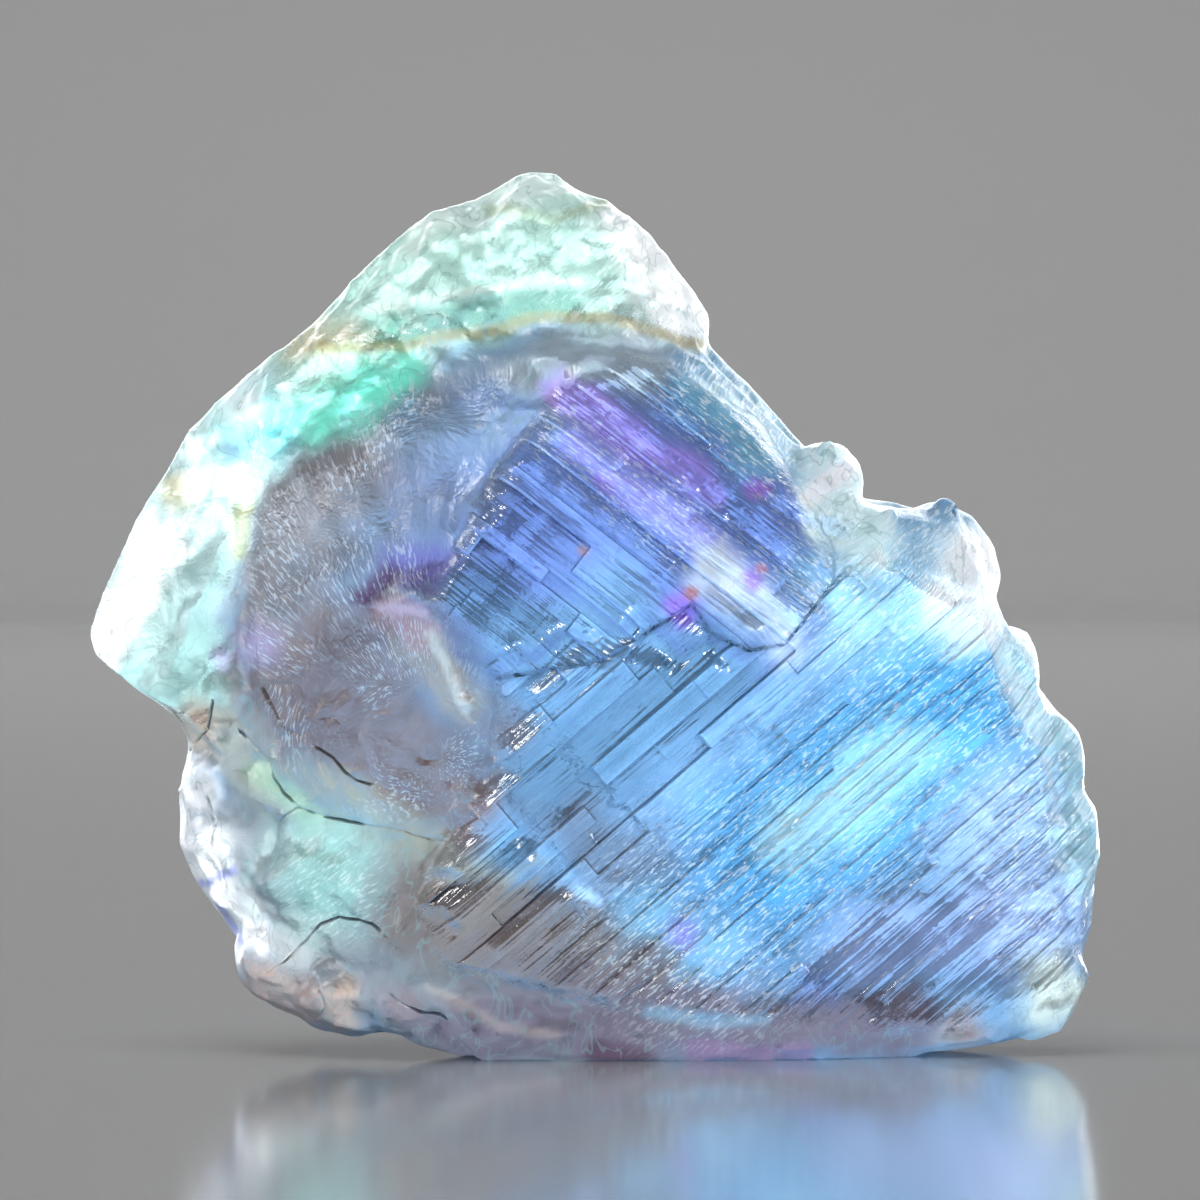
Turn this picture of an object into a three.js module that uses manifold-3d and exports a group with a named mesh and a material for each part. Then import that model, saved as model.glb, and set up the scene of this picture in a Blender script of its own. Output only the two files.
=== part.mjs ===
// A free-standing piece of zoned fluorite, in millimetres, with +Z up and the show face towards -Y.
// It is one solid: a pale plate with a lumpy rim, a stepped crystal grown on the plate's front, a knobbly
// edge of smaller crystals and lumps, cleaved faces behind, and a flat cleavage underneath to stand on.
import * as THREE from "three";
import { ConvexGeometry } from "three/addons/geometries/ConvexGeometry.js";
import { mergeVertices } from "three/addons/utils/BufferGeometryUtils.js";
import Module from "manifold-3d";

const wasm = await Module();
wasm.setup();

// Driving dimensions
const FOOT_CUT = 0.6; // how much the cleavage takes off the lowest edge
const STRIA_LOWER_DEG = 40; // slope of the growth bars on the lower face, rising to the right
const STRIA_UPPER_DEG = -38; // slope of the growth bars on the upper face, falling to the right
const ROOT = 2.6; // how far a growth bar is rooted below the face that carries it
const LEAN = 0.75; // how far a bar's sides spread for each millimetre of depth
const LUMP_STRAY = 0.1; // how far a lump's points stray, as a share of its size
const KNOB_STRAY = 0.05; // the same for the small knobs, which are more regular
const WELD = 1e-4; // vertices nearer than this are one
const SEED = 7;

// The plate's outline as seen from the front, clockwise from the peak: x to the right, z up.
const OUTLINE = [
  [-5.6, 66.5], [-3.2, 66.8], [-1.0, 65.1], [0.8, 64.6], [4.1, 62.0], [7.1, 58.1], [8.6, 55.8], [8.5, 53.6],
  [10.5, 51.8], [12.5, 49.7], [15.2, 46.6], [17.6, 44.0], [20.0, 42.2], [25.1, 41.5], [28.5, 40.7],
  [29.6, 38.4], [30.3, 35.1], [29.9, 31.4], [32.3, 29.3], [34.3, 26.6], [36.0, 24.6], [36.7, 22.1],
  [36.8, 19.9], [37.8, 17.3], [38.0, 15.8], [37.4, 13.1], [37.3, 10.5], [36.6, 8.0], [36.0, 4.6], [34.0, 2.6],
  [31.5, 1.5], [27.8, 0.8], [22.9, 0.5], [16.9, 0.3], [14.3, 0.0], [10.9, 0.2], [3.4, 0.3], [-3.0, 0.5],
  [-9.2, 0.5], [-11.6, 1.8], [-14.3, 2.9], [-18.4, 2.9], [-21.0, 2.4], [-23.3, 3.6], [-25.0, 4.4],
  [-25.5, 7.1], [-27.8, 10.4], [-29.9, 13.1], [-31.3, 16.4], [-31.3, 19.5], [-30.9, 21.8], [-30.6, 24.0],
  [-31.3, 25.4], [-33.4, 27.2], [-35.5, 28.8],
  [-37.5, 30.2], [-38.0, 32.1], [-37.1, 35.1], [-34.9, 39.8], [-32.3, 44.3], [-31.0, 46.7], [-28.5, 49.5],
  [-24.4, 52.8], [-21.4, 55.1], [-16.9, 59.9], [-12.4, 63.7], [-8.6, 64.8],
];
const PLATE_HEART = [2, 5]; // the point near the foot that the plate's rings shrink towards
const FAN_HEART = [0, 28]; // the middle of the plate's front and back caps
const FRONT_BULGE = 1; // how far the front cap's middle stands out
const BACK_BULGE = 0.4;
// The plate's rings, front to back: share of the outline, depth y, and how far points stray
const PLATE_RINGS = [
  { share: 0.87, y: -6.2, stray: 0.6 },
  { share: 0.96, y: -3.8, stray: 0.4 },
  { share: 1.0, y: -0.4, stray: 0 },
  { share: 0.985, y: 3.2, stray: 0.4 },
  { share: 0.9, y: 7.8, stray: 0.8 },
  { share: 0.7, y: 12.4, stray: 1.0 },
  { share: 0.42, y: 14.6, stray: 0.6 },
];
const CALM_BELOW = 18; // under this height the rings stray less, because their points crowd together
const LEAST_STRAY = 0.15; // the share of the stray that is left at the foot

// Corners of the stepped crystal, where its three faces meet
const APEX = new THREE.Vector3(-7.9, -13.2, 29.6);
const RIDGE_END = new THREE.Vector3(18, -9.8, 35.6);
const LOWER_CORNER = new THREE.Vector3(35.4, -5.2, 7.5);
const UPPER_CORNER = new THREE.Vector3(-3.8, -9.6, 50.6);

let seedState = SEED;

// A repeatable number from 0 to 1.
function random() {
  seedState = (seedState + 0x6d2b79f5) | 0;
  let t = Math.imul(seedState ^ (seedState >>> 15), 1 | seedState);
  t = (t + Math.imul(t ^ (t >>> 7), 61 | t)) ^ t;
  return ((t ^ (t >>> 14)) >>> 0) / 4294967296;
}

const between = (low, high) => low + (high - low) * random();

// A closed three.js geometry as a solid that can be joined and cut.
function solidOf(geometry) {
  const bare = new THREE.BufferGeometry().setAttribute("position", geometry.getAttribute("position"));
  if (geometry.index) bare.setIndex(geometry.index);
  const welded = mergeVertices(bare, WELD);
  const triVerts = new Uint32Array(welded.index.array);
  const vertProperties = welded.getAttribute("position").array;
  return new wasm.Manifold(new wasm.Mesh({ numProp: 3, vertProperties, triVerts }));
}

const hull = (points) => solidOf(new ConvexGeometry(points));

// A flat crystal face through three corners, with the direction of its growth bars in it.
function faceThrough(a, b, c, striaDegrees) {
  const plane = new THREE.Plane().setFromCoplanarPoints(a, b, c);
  const normal = plane.normal.clone();
  if (normal.y > 0) normal.negate();
  const depthAt = (x, z) => a.y - (normal.x * (x - a.x) + normal.z * (z - a.z)) / normal.y;
  const angle = THREE.MathUtils.degToRad(striaDegrees);
  const [dx, dz] = [Math.cos(angle), Math.sin(angle)];
  const along = new THREE.Vector3(dx, depthAt(a.x + dx, a.z + dz) - a.y, dz).normalize();
  const across = new THREE.Vector3().crossVectors(along, normal).normalize();
  if (striaDegrees < 0) across.negate();
  const at = (u, v, height) =>
    a.clone().addScaledVector(along, u).addScaledVector(across, v).addScaledVector(normal, height);
  return { depthAt, at };
}

const lowerFace = faceThrough(APEX, RIDGE_END, LOWER_CORNER, STRIA_LOWER_DEG);
const upperFace = faceThrough(APEX, RIDGE_END, UPPER_CORNER, STRIA_UPPER_DEG);

// The plate: rings of the outline, lofted front to back and capped with shallow fans.
function plate() {
  const count = OUTLINE.length;
  const positions = [];
  for (const { share, y, stray } of PLATE_RINGS) {
    for (const [x, z] of OUTLINE) {
      const calm = stray * Math.min(1, LEAST_STRAY + z / CALM_BELOW);
      positions.push(PLATE_HEART[0] + (x - PLATE_HEART[0]) * share + between(-calm, calm));
      positions.push(y + between(-calm, calm));
      positions.push(PLATE_HEART[1] + (z - PLATE_HEART[1]) * share + between(-calm, calm));
    }
  }
  const last = PLATE_RINGS.length - 1;
  const frontHeart = PLATE_RINGS.length * count;
  const backHeart = frontHeart + 1;
  const [frontRing, backRing] = [PLATE_RINGS[0], PLATE_RINGS[last]];
  positions.push(FAN_HEART[0], frontRing.y - FRONT_BULGE, FAN_HEART[1]);
  positions.push(FAN_HEART[0], backRing.y + BACK_BULGE, FAN_HEART[1] * backRing.share);
  const index = [];
  for (let i = 0; i < count; i++) {
    const next = (i + 1) % count;
    for (let ring = 0; ring < last; ring++) {
      const [front, back] = [ring * count, (ring + 1) * count];
      index.push(front + i, front + next, back + i);
      index.push(front + next, back + next, back + i);
    }
    index.push(next, i, frontHeart);
    index.push(last * count + i, last * count + next, backHeart);
  }
  const geometry = new THREE.BufferGeometry();
  geometry.setAttribute("position", new THREE.Float32BufferAttribute(positions, 3));
  geometry.setIndex(index);
  return solidOf(geometry);
}

// How a block's corners are carried back into the plate: drawn in sideways and in height, to one depth
const CARRIED_BACK = { x: 0.96, z: 0.97, y: 1.5, lowest: 1 };

// A block of the stepped crystal: its front corners, and the same corners carried back into the plate.
function block(frontCorners) {
  const { x, y, z, lowest } = CARRIED_BACK;
  const back = frontCorners.map((p) => new THREE.Vector3(p.x * x, y, Math.max(p.z * z, lowest)));
  return hull([...frontCorners, ...back]);
}

const onFace = (face, corners) => corners.map(([x, z]) => new THREE.Vector3(x, face.depthAt(x, z), z));
const inSpace = (corners) => corners.map(([x, y, z]) => new THREE.Vector3(x, y, z));

function lowerBlock() {
  const flat = onFace(lowerFace, [
    [-7.9, 29.6], [18, 35.6], [27, 33.6], [33, 22.5], [34.5, 10], [27, 4], [4, 4], [-12, 9],
  ]);
  const rim = inSpace([
    [30, -4, 34.5], [35.8, -3, 22], [36.6, -2.5, 9], [29, -5, 2], [0, -7, 1.5], [-14, -8, 5],
  ]);
  return block([...flat, ...rim]);
}

function upperBlock() {
  const flat = onFace(upperFace, [
    [-7.9, 29.6], [18, 35.6], [14.5, 43.5], [7, 51.5], [-3.8, 52.6], [-9, 46],
  ]);
  const rim = inSpace([[19, -5, 39.5], [15, -3.5, 46.2], [8, -4, 53.2], [-4, -6.5, 54.8], [-14, -6, 53]]);
  return block([...flat, ...rim]);
}

// The etched dome on the left, a rounded third face of the crystal.
function dome() {
  return block(inSpace([
    [-7.9, -13.2, 29.6], [-11.6, -12.6, 40.5], [-9, -10.8, 47], [-14.6, -10.2, 47.3], [-18.6, -12.2, 35.5],
    [-20.4, -10.8, 41], [-22, -8.8, 43.5], [-24.4, -8.8, 36.5], [-26, -7.6, 31.5], [-22.4, -10.6, 26],
    [-23.6, -8.6, 21.6], [-18.6, -10.8, 19.2], [-13.4, -12, 18], [-9.4, -12.8, 21.4], [-8.6, -13, 26],
    [-14.6, -6.4, 52.9], [-19.9, -6, 49.5], [-25.9, -5, 42.8], [-27, -5, 33], [-27.4, -5, 25.5],
  ]));
}

// The skirt that runs from under the dome down to the foot.
function skirt() {
  return block(inSpace([
    [-8.2, -13.1, 26], [-9.2, -12.8, 18], [-12, -12.3, 9], [-14.6, -11.6, 18.4], [-16.6, -10.9, 12.4],
    [-14.6, -10, 6], [-20.6, -9.6, 17.4], [-20, -8.4, 10.4], [-25.4, -7.4, 22], [-17, -7, 4.4],
  ]));
}

// The glittering shoulder to the right of the ridge, sloping back from the lower face.
function shoulder() {
  const foot = onFace(lowerFace, [[16, 33], [28.4, 33.4], [29.6, 29]]);
  const slope = inSpace([
    [17.4, -9.7, 36.2], [19.4, -9, 38.6], [21, -7.4, 41], [24, -8.2, 38], [26.4, -6.8, 40.2],
    [28.4, -6.8, 37.4], [19.2, -5, 42], [25, -4, 41.3], [28.3, -3.4, 40.1], [29.4, -3.4, 37],
    [30.4, -4, 32.6], [31.4, -4.4, 28.6],
  ]);
  return block([...foot, ...slope]);
}

// The salmon-coloured scar that runs down the dome beside the apex.
function scar() {
  return hull(inSpace([
    [-15.6, -12.6, 35.4], [-13.6, -13.6, 34.4], [-11.4, -13.9, 31], [-9.2, -14, 27.2], [-10.6, -13.6, 26.2],
    [-13.4, -13.2, 30.4], [-12, -8, 36], [-9, -8, 26], [-15, -8, 30],
  ]));
}

// The value of a broken line of [key, value] points at a key.
function lineAt(line, key) {
  for (let i = 1; i < line.length; i++) {
    const [k0, v0] = line[i - 1];
    const [k1, v1] = line[i];
    if (key <= k1) return THREE.MathUtils.mapLinear(Math.max(key, k0), k0, k1, v0, v1);
  }
  return line[line.length - 1][1];
}

const BAR_SKEW = [0.2, 1.2]; // how far a bar's far edge is shifted along it
const BAR_DRIFT = [-0.03, 0.03]; // how far a bar wanders across for each millimetre of its length

// A growth bar: a long step on a face, low on its near edge and high on its far edge, with sloping sides.
function bar(face, { across, width, from, to, near, far }) {
  const skew = between(...BAR_SKEW);
  const drift = between(...BAR_DRIFT) * (to - from);
  const spread = LEAN * (ROOT + Math.max(near, far));
  const top = [
    face.at(from, across, near), face.at(from + skew, across + width, far),
    face.at(to, across + width + drift, far), face.at(to - skew, across + drift, near),
  ];
  const root = [
    [from - spread, across - spread], [from + skew - spread, across + width + spread],
    [to + spread, across + width + drift + spread], [to - skew + spread, across + drift - spread],
  ].map(([u, v]) => face.at(u, v, -ROOT));
  return hull([...top, ...root]);
}

// How the pieces of a row differ: its ends, each piece's height, place, width and overlap with the next
const PIECES = {
  startStray: [-0.6, 1.2],
  endStray: [-1.2, 0.6],
  heightStray: [-0.1, 0.15],
  acrossStray: [-0.2, 0.2],
  widthShare: [0.8, 1.15],
  overlap: [0.4, 1.8],
  shortest: 1,
  leastRest: 3, // a shorter rest than this is taken into the last piece
  raisedBy: 0.4, // the height added to the pieces before the face's raised mark
  lowest: 0.05,
};

// A row of bars in line across a face, in pieces that overlap and differ a little in place, width and height.
function barRow(face, { across, width, near, far }, { start, end, piece, raised }) {
  const bars = [];
  const stop = lineAt(end, across) + between(...PIECES.endStray);
  let from = lineAt(start, across) + between(...PIECES.startStray);
  while (stop - from > PIECES.shortest) {
    const length = between(...piece);
    const to = stop - from - length < PIECES.leastRest ? stop : from + length;
    const lift = between(...PIECES.heightStray) + (to < raised ? PIECES.raisedBy : 0);
    bars.push(bar(face, {
      across: across + between(...PIECES.acrossStray),
      width: width * between(...PIECES.widthShare),
      near: Math.max(PIECES.lowest, near + lift),
      far: Math.max(PIECES.lowest, far + lift),
      from,
      to,
    }));
    from = to - between(...PIECES.overlap);
    if (to === stop) break;
  }
  return bars;
}

// Rows that stand out on each face: how far over from the apex, how wide, and the heights of their two edges
const UPPER_ROWS = [
  { across: 0.2, width: 2.0, near: 1.1, far: 1.2 },
  { across: 2.9, width: 2.8, near: 1.0, far: 0.8 },
  { across: 6.2, width: 1.4, near: 0.5, far: 0.3 },
  { across: 8.4, width: 2.1, near: 1.1, far: 0.9 },
  { across: 11.2, width: 1.5, near: 0.8, far: 0.5 },
  { across: 13.4, width: 1.3, near: 1.3, far: 1.1 },
  { across: 15.3, width: 1.1, near: 0.6, far: 0.4 },
  { across: 17.0, width: 1.3, near: 1.0, far: 0.8 },
  { across: 19.0, width: 1.1, near: 0.4, far: 0.2 },
  { across: 20.8, width: 1.5, near: 0.7, far: 0.4 },
  { across: 23.2, width: 1.2, near: 0.3, far: 0.2 },
];
const LOWER_ROWS = [
  { across: 3.4, width: 1.0, near: 1.0, far: 1.3 },
  { across: 5.1, width: 1.2, near: 1.1, far: 1.6 },
  { across: 7.0, width: 1.3, near: 0.9, far: 1.3 },
  { across: 9.0, width: 1.3, near: 0.7, far: 1.1 },
  { across: 11.2, width: 1.6, near: 0.5, far: 0.9 },
];
const FINE_ROWS = {
  from: 13.4,
  to: 43,
  apart: [0.9, 2.2],
  width: [0.4, 1.4],
  near: [0.05, 0.12],
  far: [0.12, 0.4],
};

// Where the rows start and end, as broken lines of [across, along]
const UPPER_REACH = {
  start: [[0, -7.6], [5, -7], [9, -6.6], [19, -8], [23, -4.5], [26, 0]],
  end: [[0.5, 0.6], [5, 4], [9, 7], [13, 13.5], [17, 16], [21, 15.4], [24, 12]],
  piece: [7, 18],
  raised: -20,
};
const LOWER_REACH = {
  start: [[3, 1.5], [5, -3], [9.6, -13.4], [15, -14.5], [22.6, -10.5], [30, -3.5], [40.7, 7], [45, 15]],
  end: [[3, 7], [5, 9], [8.7, 13], [12.4, 21], [22.7, 27.5], [29, 28], [36, 25], [42, 20], [45, 15]],
  piece: [6, 16],
  raised: -3,
};

function fineRows() {
  const rows = [];
  for (let across = FINE_ROWS.from; across < FINE_ROWS.to; across += between(...FINE_ROWS.apart)) {
    const width = between(...FINE_ROWS.width);
    const near = between(...FINE_ROWS.near);
    const far = between(...FINE_ROWS.far);
    rows.push({ across, width, near, far });
  }
  return rows;
}

// All the growth bars of both faces, kept inside the outline.
function growthBars() {
  const bars = [
    ...UPPER_ROWS.flatMap((row) => barRow(upperFace, row, UPPER_REACH)),
    ...[...LOWER_ROWS, ...fineRows()].flatMap((row) => barRow(lowerFace, row, LOWER_REACH)),
  ];
  const outline = new THREE.Shape(OUTLINE.map(([x, z]) => new THREE.Vector2(x, z)));
  const reach = { depth: 40, bevelEnabled: false };
  const column = new THREE.ExtrudeGeometry(outline, reach).rotateX(Math.PI / 2);
  return joined(bars).intersect(solidOf(column));
}

// A lump: a rough faceted ball of the given half sizes, its points strayed by a share of its size.
function lump([x, y, z], [rx, ry, rz], stray) {
  const corners = new THREE.IcosahedronGeometry(1, 1).deleteAttribute("normal").deleteAttribute("uv");
  const ball = mergeVertices(corners).getAttribute("position");
  const points = [];
  for (let i = 0; i < ball.count; i++) {
    const p = new THREE.Vector3().fromBufferAttribute(ball, i);
    p.multiplyScalar(1 + between(-stray, stray));
    points.push(new THREE.Vector3(x + p.x * rx, y + p.y * ry, z + p.z * rz));
  }
  return hull(points);
}

const LUMPS = [
  { at: [-25.4, -2.6, 20.4], size: [5.4, 5.0, 4.8] },
  { at: [-19.6, -4.2, 14.2], size: [7.2, 6.2, 6.0] },
  { at: [-22.6, -2.4, 8.6], size: [4.6, 5.0, 4.8] },
  { at: [-18.2, -3.6, 5.4], size: [5.0, 5.2, 3.4] },
  { at: [-9.8, -3.6, 4.0], size: [5.4, 5.2, 3.6] },
  { at: [-13.8, -5.8, 5.8], size: [4.4, 4.4, 3.8] },
  { at: [25.6, -1.4, 36.4], size: [5.0, 5.2, 5.6] },
  { at: [32.6, -1.6, 6.4], size: [4.2, 4.4, 5.0] },
  { at: [34.6, -1.2, 16.6], size: [3.4, 3.8, 4.4] },
  { at: [33.6, -1.6, 22.8], size: [3.2, 3.6, 3.8] },
  { at: [30.6, -1.8, 29.4], size: [2.8, 3.4, 3.4] },
  { at: [14.4, 4.6, 14.0], size: [9.0, 9.0, 11.0] },
  { at: [-12.0, 4.0, 12.0], size: [10.0, 9.4, 10.0] },
  { at: [-2.0, 5.0, 44.0], size: [11.0, 7.6, 12.0] },
];
const KNOBS = [
  { at: [17.0, -3.6, 43.4], size: [3.1, 3.2, 3.1] },
  { at: [18.2, -5.6, 40.2], size: [2.4, 2.4, 2.4] },
  { at: [17.4, -4.4, 41.8], size: [2.6, 2.8, 2.2] },
  { at: [26.0, -4.4, 41.0], size: [1.2, 1.2, 1.4] },
];

// The wedge of violet slivers under the front edge.
function footSlivers() {
  return hull(inSpace([
    [-12, -9.6, 5.4], [-9, -9.8, 2.6], [4, -9.8, 2.4], [16, -8.8, 2.4], [26, -6.4, 3], [4, -9.6, 5],
    [18, -8, 5], [-8.5, -7.6, 0.2], [4, -8.2, 0], [14.3, -7.4, 0], [24, -4.6, 0.4], [-8, 2, 0.4],
    [24, 2, 0.4],
  ]));
}

// All that lies beyond the plane through a point that faces the given way, as a block larger than the piece.
function beyond(point, facing) {
  const size = 200;
  const geometry = new THREE.BoxGeometry(size, size, size).translate(0, 0, size / 2);
  const away = new THREE.Vector3(...facing).normalize();
  const turn = new THREE.Quaternion().setFromUnitVectors(new THREE.Vector3(0, 0, 1), away);
  geometry.applyQuaternion(turn).translate(...point);
  return solidOf(geometry);
}

// Flat facets on the plate's rim: the bright ones at the upper right and on the left tip.
const RIM_FACETS = [
  { point: [4.7, -1.4, 60.2], facing: [0.53, -0.71, 0.47] },
  { point: [-33.5, -1.6, 39], facing: [-0.59, -0.77, 0.26] },
];
// Cleaved faces behind, and the flat cleavage that the specimen stands on
const CLEAVAGES = [
  { point: [2, 13.6, 22], facing: [0.06, 1, -0.05] },
  { point: [14, 11.4, 24], facing: [0.36, 1, 0.04] },
  { point: [26, 7.6, 22], facing: [0.75, 1, 0.12] },
  { point: [10, 10.6, 42], facing: [0.5, 1, 0.42] },
  { point: [-4, 11.6, 44], facing: [-0.06, 1, 0.34] },
  { point: [-6, 8.4, 56], facing: [-0.12, 1, 0.75] },
  { point: [-16, 11.2, 30], facing: [-0.32, 1, 0.12] },
  { point: [-27, 7.6, 38], facing: [-0.62, 1, 0.32] },
  { point: [-18, 9.4, 14], facing: [-0.5, 1, -0.3] },
  { point: [6, 11.4, 8], facing: [0.1, 1, -0.42] },
  { point: [0, 0, FOOT_CUT], facing: [0, 0, -1] },
];
// Steps behind: each takes a layer off a cleaved face down to a level, but only beyond an edge
const STEPS = [
  { level: [14, 10.2, 24], facing: [0.36, 1, 0.04], edge: [15, 8, 26], away: [0.8, 0.2, -0.55] },
  { level: [14, 9.2, 24], facing: [0.36, 1, 0.04], edge: [20, 8, 22], away: [0.85, 0.2, -0.45] },
  { level: [10, 9.6, 42], facing: [0.5, 1, 0.42], edge: [9, 8, 45], away: [0.5, 0.1, 0.85] },
  { level: [-4, 10.6, 44], facing: [-0.06, 1, 0.34], edge: [-4, 8, 46], away: [-0.35, 0.1, 0.9] },
  { level: [-4, 9.8, 44], facing: [-0.06, 1, 0.34], edge: [-6, 8, 50], away: [-0.4, 0.1, 0.9] },
  { level: [-16, 10.2, 30], facing: [-0.32, 1, 0.12], edge: [-17, 8, 32], away: [-0.6, 0.1, 0.8] },
  { level: [-16, 9.3, 30], facing: [-0.32, 1, 0.12], edge: [-21, 8, 35], away: [-0.55, 0.1, 0.85] },
  { level: [2, 12.7, 22], facing: [0.06, 1, -0.05], edge: [0, 12, 20], away: [-0.7, 0.1, -0.7] },
  { level: [2, 11.9, 22], facing: [0.06, 1, -0.05], edge: [-4, 12, 16], away: [-0.75, 0.1, -0.65] },
];

const joined = (pieces) => pieces.reduce((body, piece) => body.add(piece));

function specimen() {
  const cleaved = (body, { point, facing }) => body.subtract(beyond(point, facing));
  let body = joined([
    RIM_FACETS.reduce(cleaved, plate()),
    lowerBlock(), upperBlock(), dome(), skirt(), shoulder(), scar(), footSlivers(), growthBars(),
    ...LUMPS.map(({ at, size }) => lump(at, size, LUMP_STRAY)),
    ...KNOBS.map(({ at, size }) => lump(at, size, KNOB_STRAY)),
  ]);
  body = CLEAVAGES.reduce(cleaved, body);
  for (const { level, facing, edge, away } of STEPS) {
    body = body.subtract(beyond(level, facing).intersect(beyond(edge, away)));
  }
  return body;
}

function geometryOf(body) {
  const { vertProperties, triVerts } = body.getMesh();
  const geometry = new THREE.BufferGeometry();
  geometry.setAttribute("position", new THREE.BufferAttribute(vertProperties, 3));
  geometry.setIndex(new THREE.BufferAttribute(triVerts, 1));
  geometry.computeVertexNormals();
  return geometry;
}

const fluorite = new THREE.Mesh(
  geometryOf(specimen()),
  new THREE.MeshStandardMaterial({ color: 0x7fa8d8, roughness: 0.25, metalness: 0 }),
);
fluorite.name = "fluorite";

// The origin is the middle of the foot.
const box = new THREE.Box3().setFromObject(fluorite);
fluorite.position.set(-(box.min.x + box.max.x) / 2, -(box.min.y + box.max.y) / 2, -box.min.z);

const group = new THREE.Group();
group.add(fluorite);
export default group;
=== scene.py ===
"""A free-standing piece of zoned fluorite on a pale studio floor, seen from the front."""
import itertools
import math
import random
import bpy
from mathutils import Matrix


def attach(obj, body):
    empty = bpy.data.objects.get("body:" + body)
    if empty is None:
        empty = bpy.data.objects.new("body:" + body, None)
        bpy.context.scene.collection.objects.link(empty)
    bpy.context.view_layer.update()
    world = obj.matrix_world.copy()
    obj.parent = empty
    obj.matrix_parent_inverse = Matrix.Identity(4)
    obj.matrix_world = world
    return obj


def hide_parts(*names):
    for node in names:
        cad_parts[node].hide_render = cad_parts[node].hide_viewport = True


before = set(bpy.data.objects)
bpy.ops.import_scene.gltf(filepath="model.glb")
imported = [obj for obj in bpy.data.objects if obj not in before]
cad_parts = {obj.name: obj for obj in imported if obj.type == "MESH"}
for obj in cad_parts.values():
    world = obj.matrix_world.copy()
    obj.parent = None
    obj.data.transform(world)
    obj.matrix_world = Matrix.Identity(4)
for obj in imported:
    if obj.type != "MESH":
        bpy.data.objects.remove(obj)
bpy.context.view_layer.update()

from types import SimpleNamespace

import bmesh
import bpy
import numpy as np
from mathutils import Euler, Vector, kdtree

# Lengths in this script are millimetres in the part's own frame, and become metres through MM.
MM = 0.001
GRAIN = 0.42  # size of the even faces that carry the relief
RISER = 0.14  # width of the steep side of a growth step
RISER_EDGES = (-0.5, 0.5)  # in widths of a riser, where the mesh is cut beside it
CRACK_EDGES = (-1, 0, 1)  # likewise for a crack
KINK_SPACING = 1.5  # between the kinks of a crack
KINK_STRAY = 0.25  # of a kink to either side
NEAR_LINE = 1.5  # faces within this of a line may be cut along it
NEAR_STRETCH = 0.45  # faces within this of one stretch of a line are cut along that stretch
SMOOTHING_TURNS = 12  # for the rounded parts
FIRST_TURNS = 2  # how many of these are for the rest of the front too
FOOT_CLEAR = 1.2  # nothing under this height is smoothed
BACK_CLEAR = 5.0  # nothing behind this y is smoothed
SHARP_ANGLE = 32.0  # degrees, past which two faces meet in a visible edge
SEED = 11
FACE_LENGTH = 50.0  # the bars of a crystal face reach this far along it
LOWER_WIDTH = 46.0  # and this far across it
UPPER_WIDTH = 26.0
LOWER_BROAD = 19.0  # bars nearer to the apex than this, across the face, are broad ones
UPPER_BROAD = 18.0
BORDER_STEP = 0.2  # how far both crystal faces stand up from the crevice between them
# Width, height and length ranges of the bars on the crystal faces
BROAD_BAR = ((0.9, 2.6), (0.0, 0.8), (4.0, 16.0))
FINE_BAR = ((0.35, 1.0), (0.0, 0.3), (5.0, 18.0))

# How far the relief goes on each kind of surface
FLANK_RIDGE = 0.45
FLANK_RIPPLE = 0.2
CAP_RIDGE = 0.3
CAP_RIPPLE = 0.2
SKIN_BOWL = 0.7
SKIN_GRAIN = 0.16
BROKEN_FROM = (10.0, 14.0)  # between these x the skin turns into flat broken facets
BROKEN_GRAIN = 0.1
FACET_SIZE = 2.4
FACET_REACH = 0.6
FOLD_SPACING = 1.7
FOLD_WAVE = 0.08
FOLD_RIDGE = 0.2
SCRATCH_HEIGHT = 0.2
DOME_SWELL = 0.14
TERRACES = 2.5
TERRACE_STEP = 0.3
REAR_BOWL = 0.2
REAR_GRAIN = 0.1
CRACK_DEPTH = 0.35

# Painted light and shade in the colour: how much lighter crests and high steps are, how much darker the feet
# of the steps are, and how much darker the back, the cracks and the crevice
CREST_LIGHT = 0.3
STEP_LIGHT = 0.35
REAR_SHADE = 0.1
CRACK_SHADE = 0.45
CREVICE_SHADE = 0.3

# Corners of the stepped crystal, where its faces meet
APEX = Vector((-7.9, -13.3, 29.0))
RIDGE_END = Vector((18.0, -9.9, 35.0))
LOWER_CORNER = Vector((35.4, -5.3, 6.9))
UPPER_CORNER = Vector((-3.8, -9.7, 50.0))
LOWER_SLOPE = 40.0  # degrees, the growth steps of the lower face rise to the right
UPPER_SLOPE = -38.0  # degrees, the growth steps of the upper face fall to the right

# Where each kind of surface lies, as outlines seen from the front: (x, z)
FACE_BORDER = [
    (-7.1, 28.5), (0.4, 29.8), (7.1, 33.9), (8.6, 31.7), (11.2, 30.5), (13.9, 30.9), (15.4, 32.8),
    (17.5, 35.4),
]
LOWER_AREA = FACE_BORDER + [
    (20.6, 38.4), (31.5, 32.0), (38.0, 23.0), (39.0, 14.4), (38.0, 6.0), (27.4, 1.6), (3.4, 3.2),
    (-11.6, 6.9), (-13.5, 12.1), (-7.9, 21.9),
]
UPPER_AREA = FACE_BORDER[::-1] + [
    (-12.4, 33.9), (-8.6, 42.1), (-3.0, 50.0), (3.4, 52.6), (12.4, 47.4), (17.6, 38.0),
]
DOME_AREA = [
    (-8.6, 42.1), (-12.4, 33.9), (-7.1, 28.5), (-7.9, 21.9), (-10.9, 16.6), (-18.4, 17.8), (-23.2, 21.1),
    (-26.6, 30.9), (-25.9, 41.4), (-19.9, 45.9), (-14.6, 51.1), (-4.1, 53.0),
]
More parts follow.
